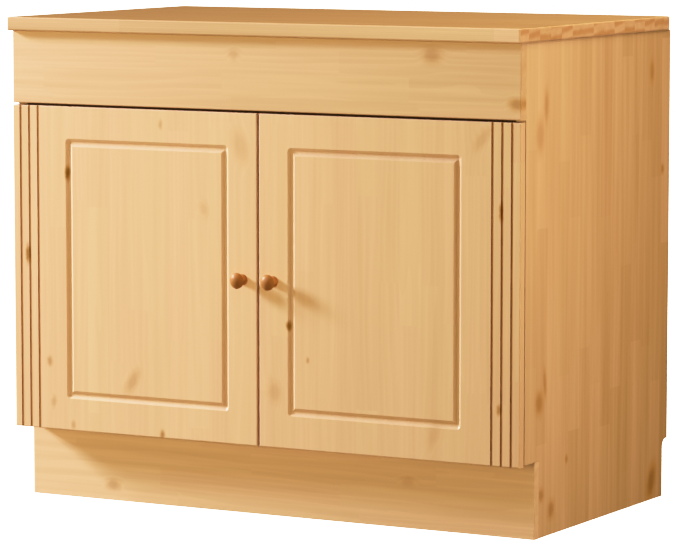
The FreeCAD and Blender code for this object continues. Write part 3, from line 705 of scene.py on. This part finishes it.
def add_screw(shape, points, recess_depth):
    """Adds one pan head screw with a cross recess to a bmesh, in a CAD screw's place."""
    seat, direction, length, head, head_radius, shank_radius = screw_measure(points)
    slot = SLOT_HALF_WIDTH * head_radius
    arm = SLOT_HALF_LENGTH * head_radius

    # A domed head from a square grid, whose lines follow the cross and whose rim is drawn in to a circle.
    lines = (-head_radius, -arm, -slot, slot, arm, head_radius)
    grid = bmesh.ops.create_grid(shape, x_segments=HEAD_SQUARES, y_segments=HEAD_SQUARES, size=1.0)["verts"]
    for vertex in grid:
        columns = [round((value + 1) * HEAD_SQUARES / 2) for value in vertex.co[:2]]
        x, y = (lines[column] for column in columns)
        on_rim = 0 in columns or HEAD_SQUARES in columns
        round_share = head_radius / math.hypot(x, y) if on_rim else 1.0
        vertex.co = Vector((x * round_share, y * round_share, 0))
        reach = vertex.co.length / head_radius
        vertex.co.z = head * (1.0 - RIM_DROP * reach * reach)
    faces = list({face for vertex in grid for face in vertex.link_faces})
    cross = [face for face in faces if cross_face(face, slot, arm)]
    rim_edges = [edge for face in faces for edge in face.edges if edge.is_boundary]

    # The cross is pressed in and narrows towards its floor.
    pressed = bmesh.ops.extrude_face_region(shape, geom=cross)
    bmesh.ops.delete(shape, geom=cross, context="FACES")
    recess_floor = new_corners(pressed)
    bmesh.ops.translate(shape, verts=recess_floor, vec=(0, 0, -recess_depth))
    for vertex in recess_floor:
        vertex.co.xy *= RECESS_TAPER

    # The head's side, its seat and the shank.
    skirt = bmesh.ops.extrude_edge_only(shape, edges=rim_edges)
    for vertex in new_corners(skirt):
        vertex.co.z = 0
    neck = bmesh.ops.extrude_edge_only(shape, edges=open_edges(skirt))
    for vertex in new_corners(neck):
        vertex.co.xy = vertex.co.xy.normalized() * shank_radius
    shank = bmesh.ops.extrude_edge_only(shape, edges=open_edges(neck))
    bmesh.ops.translate(shape, verts=new_corners(shank), vec=(0, 0, -length))
    bmesh.ops.contextual_create(shape, geom=open_edges(shank))

    # Vertices of the screws that already stand in their places are tagged.
    own = [vertex for vertex in shape.verts if not vertex.tag]
    turn = direction.to_track_quat("-Z", "Y").to_matrix().to_4x4()
    bmesh.ops.transform(shape, matrix=Matrix.Translation(seat) @ turn, verts=own)
    for vertex in own:
        vertex.tag = True


class CABINET_OT_boards(bpy.types.Operator):
    """Give every board its own pine, and the dowels their beech"""

    bl_idname = "cabinet.boards"
    bl_label = "Pine Boards"

    def execute(self, context):
        settings = context.scene.cabinet_wood
        for board in BOARDS:
            dress(board.nodes, pine(board, settings, settings.heart_colour))
        dress(("dowels",), turned_beech("Turned beech", settings))
        return {"FINISHED"}


class CABINET_OT_knobs(bpy.types.Operator):
    """Give the turned knobs their redder pine"""

    bl_idname = "cabinet.knobs"
    bl_label = "Turned Knobs"

    def execute(self, context):
        settings = context.scene.cabinet_wood
        dress(KNOBS.nodes, pine(KNOBS, settings, settings.turned_colour))
        return {"FINISHED"}


class CABINET_OT_hardware(bpy.types.Operator):
    """Plate the hinges and brackets, and finish the door bumpers"""

    bl_idname = "cabinet.hardware"
    bl_label = "Hinges and Brackets"

    def execute(self, context):
        settings = context.scene.cabinet_hardware
        nickel = plated_steel("Nickel plated steel", settings.nickel_colour, grit=0.4 * MM, roughness=0.26)
        zinc = plated_steel("Zinc plated steel", settings.zinc_colour, grit=0.5 * MM, roughness=0.34)
        dress(NICKEL_NODES, nickel)
        dress(ZINC_NODES, zinc)
        dress(BUMPER_NODES, soft_pad("Soft clear plastic", settings.bumper_colour))
        return {"FINISHED"}


class CABINET_OT_screws(bpy.types.Operator):
    """Make the screws with domed heads and cross recesses"""

    bl_idname = "cabinet.screws"
    bl_label = "Screws"

    def execute(self, context):
        settings = context.scene.cabinet_hardware
        finishes = {
            "nickel_plated_steel": plated_steel(
                "Nickel plated screws", settings.nickel_colour, grit=0.3 * MM, roughness=0.3),
            "zinc_plated_steel": plated_steel(
                "Zinc plated screws", settings.zinc_colour, grit=0.3 * MM, roughness=0.36),
        }
        for node_name, body, slot_name in SCREW_NODES:
            shape = bmesh.new()
            for points in islands(cad_nodes[node_name].data):
                add_screw(shape, points, settings.recess_depth)
            bmesh.ops.recalc_face_normals(shape, faces=shape.faces)
            mesh = bpy.data.meshes.new(node_name + "_cross")
            shape.to_mesh(mesh)
            shape.free()
            mesh.materials.append(finishes[slot_name])
            piece = bpy.data.objects.new(node_name + "_cross", mesh)
            context.scene.collection.objects.link(piece)
            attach(piece, body)
            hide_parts(node_name)
        return {"FINISHED"}


def area_light(scene, name, place, size, power, colour):
    """A square lamp that faces the cabinet, unseen by the camera itself."""
    lamp = bpy.data.lights.new(name, "AREA")
    lamp.shape = "SQUARE"
    lamp.size = size
    lamp.energy = power
    lamp.color = colour
    holder = bpy.data.objects.new(name, lamp)
    holder.location = place
    holder.rotation_euler = (CABINET_MIDDLE - Vector(place)).to_track_quat("-Z", "Y").to_euler()
    holder.visible_camera = False
    scene.collection.objects.link(holder)
    return holder


class CABINET_OT_stage(bpy.types.Operator):
    """Lay the pale floor, hang the lamps and set up the camera"""

    bl_idname = "cabinet.stage"
    bl_label = "Floor, Light and Camera"

    def execute(self, context):
        scene = context.scene
        settings = scene.cabinet_stage
        self.floor(scene, settings)
        self.surroundings(scene, settings)
        self.lamps(scene, settings)
        self.camera(scene, settings)
        self.contrast(scene)
        return {"FINISHED"}

    def floor(self, scene, settings):
        """A matt white floor that shines by itself and throws no light on the cabinet."""
        material, tree, shader = new_material("Matt studio floor")
        coordinates = add(tree, "ShaderNodeTexCoord").outputs["Object"]
        cloud = add(tree, "ShaderNodeTexNoise", {
            "Vector": coordinates, "Scale": 1 / FLOOR_CLOUD, "Detail": 2.0})
        colour = settings.floor_colour
        mixed = add(tree, "ShaderNodeMix", {
            0: cloud, 6: tuple(colour), 7: dimmed(colour, 0.97)}, data_type="RGBA")
        tree.links.new(mixed.outputs[2], shader.inputs["Base Color"])
        shader.inputs["Roughness"].default_value = 0.9
        shader.inputs["Emission Color"].default_value = WHITE
        shader.inputs["Emission Strength"].default_value = settings.floor_glow
        shape = bmesh.new()
        bmesh.ops.create_circle(shape, cap_ends=True, segments=96, radius=FLOOR_RADIUS)
        mesh = bpy.data.meshes.new("studio_floor")
        shape.to_mesh(mesh)
        shape.free()
        mesh.materials.append(material)
        floor = bpy.data.objects.new("studio_floor", mesh)
        floor.visible_diffuse = False
        floor.visible_shadow = False
        floor.visible_glossy = False
        scene.collection.objects.link(floor)

    def surroundings(self, scene, settings):
        """Even light from the sky and the ground, and a white wall where the camera looks past the cabinet."""
        world = bpy.data.worlds.new("Studio")
        world.use_nodes = True
        tree = world.node_tree
        height = add(tree, "ShaderNodeSeparateXYZ", {0: add(tree, "ShaderNodeTexCoord").outputs["Generated"]})
        share = add(tree, "ShaderNodeMapRange", {
            "Value": height.outputs["Z"], "From Min": -HORIZON, "From Max": HORIZON,
            "To Min": 0.0, "To Max": 1.0})
        mixed = add(tree, "ShaderNodeMix", {
            0: share, 6: tuple(settings.ground_colour), 7: tuple(settings.sky_colour)}, data_type="RGBA")
        tree.links.new(mixed.outputs[2], tree.nodes["Background"].inputs["Color"])
        white = add(tree, "ShaderNodeBackground", {"Color": WHITE, "Strength": settings.floor_glow})
        seen = add(tree, "ShaderNodeMixShader", {
            0: add(tree, "ShaderNodeLightPath").outputs["Is Camera Ray"],
            1: tree.nodes["Background"], 2: white})
        tree.links.new(seen.outputs[0], tree.nodes["World Output"].inputs["Surface"])
        scene.world = world

    def lamps(self, scene, settings):
        """The lamps, and the pieces that some of them pass by."""
        holders = {}
        for lamp in LAMPS:
            power = getattr(settings, lamp.power)
            colour = getattr(settings, lamp.colour)
            holders[lamp.name] = area_light(scene, lamp.name, lamp.place, lamp.size, power, colour)
        for lamp_name, role, node_names, state in LIGHT_LINKS:
            linked = bpy.data.collections.new(lamp_name + "_" + role)
            for node_name in node_names:
                linked.objects.link(cad_nodes[node_name])
            for entry in linked.collection_objects:
                entry.light_linking.link_state = state
            setattr(holders[lamp_name].light_linking, role, linked)

    def camera(self, scene, settings):
        """A long lens at the photograph's angle."""
        flat = math.cos(settings.elevation)
        forward = Vector((-math.sin(settings.azimuth) * flat, math.cos(settings.azimuth) * flat,
                          -math.sin(settings.elevation)))
        lens = bpy.data.cameras.new("photo_camera")
        lens.sensor_fit = "HORIZONTAL"
        lens.sensor_width = SENSOR_WIDTH
        lens.lens = settings.lens
        lens.clip_end = VIEW_END
        camera = bpy.data.objects.new("photo_camera", lens)
        camera.location = Vector(settings.target) - forward * settings.distance
        camera.rotation_euler = forward.to_track_quat("-Z", "Y").to_euler()
        scene.collection.objects.link(camera)
        scene.camera = camera

    def contrast(self, scene):
        """The photograph's contrast, as a curve over all three colours."""
        scene.view_settings.view_transform = "Standard"
        scene.view_settings.use_curve_mapping = True
        mapping = scene.view_settings.curve_mapping
        mapping.white_level = (WHITE_LIGHT,) * 3
        combined = mapping.curves[3]
        for light_in, light_out in CONTRAST:
            combined.points.new(light_in / WHITE_LIGHT, light_out)
        mapping.update()


class CABINET_PT_panel(bpy.types.Panel):
    """The cabinet's operators and settings"""

    bl_idname = "CABINET_PT_panel"
    bl_label = "Pine Sink Base Cabinet"
    bl_space_type = "VIEW_3D"
    bl_region_type = "UI"
    bl_category = "Cabinet"

    def draw(self, context):
        for group_name in GROUPS:
            group = getattr(context.scene, group_name)
            for name in group.__annotations__:
                self.layout.prop(group, name)
        for operator in OPERATORS:
            self.layout.operator(operator.bl_idname)


GROUPS = {"cabinet_wood": WoodSettings, "cabinet_hardware": HardwareSettings, "cabinet_stage": StageSettings}
OPERATORS = (CABINET_OT_boards, CABINET_OT_knobs, CABINET_OT_hardware, CABINET_OT_screws, CABINET_OT_stage)


def register():
    """Registers the classes and hangs the settings on the scene."""
    for kind in (*GROUPS.values(), *OPERATORS, CABINET_PT_panel):
        bpy.utils.register_class(kind)
    for name, kind in GROUPS.items():
        setattr(bpy.types.Scene, name, PointerProperty(type=kind))


def unregister():
    """Takes the settings off the scene and unregisters the classes."""
    for name in GROUPS:
        delattr(bpy.types.Scene, name)
    for kind in reversed((*GROUPS.values(), *OPERATORS, CABINET_PT_panel)):
        bpy.utils.unregister_class(kind)


def main():
    """Registers the add-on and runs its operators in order."""
    register()
    bpy.ops.cabinet.boards()
    bpy.ops.cabinet.knobs()
    bpy.ops.cabinet.hardware()
    bpy.ops.cabinet.screws()
    bpy.ops.cabinet.stage()


if __name__ == "__main__":
    main()
